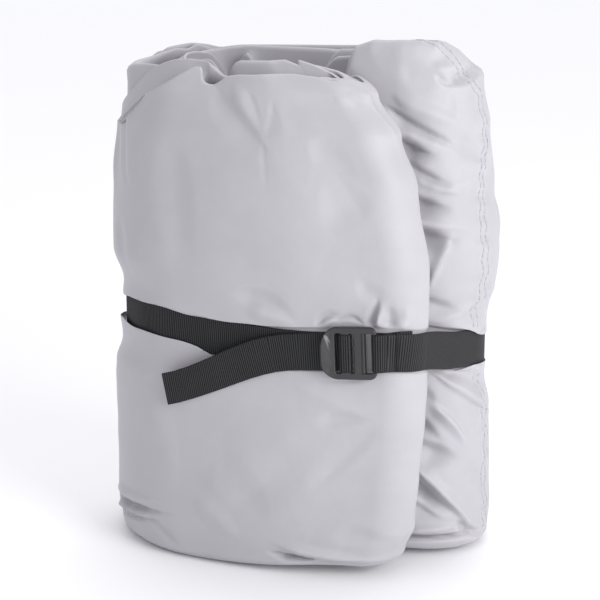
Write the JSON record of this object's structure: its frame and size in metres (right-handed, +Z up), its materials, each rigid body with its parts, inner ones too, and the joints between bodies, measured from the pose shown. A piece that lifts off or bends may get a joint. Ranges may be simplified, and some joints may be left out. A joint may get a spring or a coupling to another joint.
{
  "type": "folded and strapped boat cover",
  "caption": "Boat cover of light grey coated cloth, folded to a thick strip, wound into an upright bundle and cinched by a webbing strap with a ladder-lock buckle.",
  "frame": {"origin": "middle of the bundle's footprint, on the surface it stands on", "axes": "+Z up, along the fold lines; -Y is the broad front with the buckle; +X is to the right of someone facing the buckle"},
  "size_m": [0.269, 0.1716, 0.3516],
  "materials": {
    "cover_cloth": "light grey coated polyester, plain fine weave with a faint sheen",
    "webbing": "black woven polypropylene webbing with fine cross ribs",
    "buckle_plastic": "black moulded acetal, satin"
  },
  "bodies": {
    "root": {"cover": "cover_cloth", "strap": "webbing", "buckle": "buckle_plastic"}
  },
  "joints": []
}
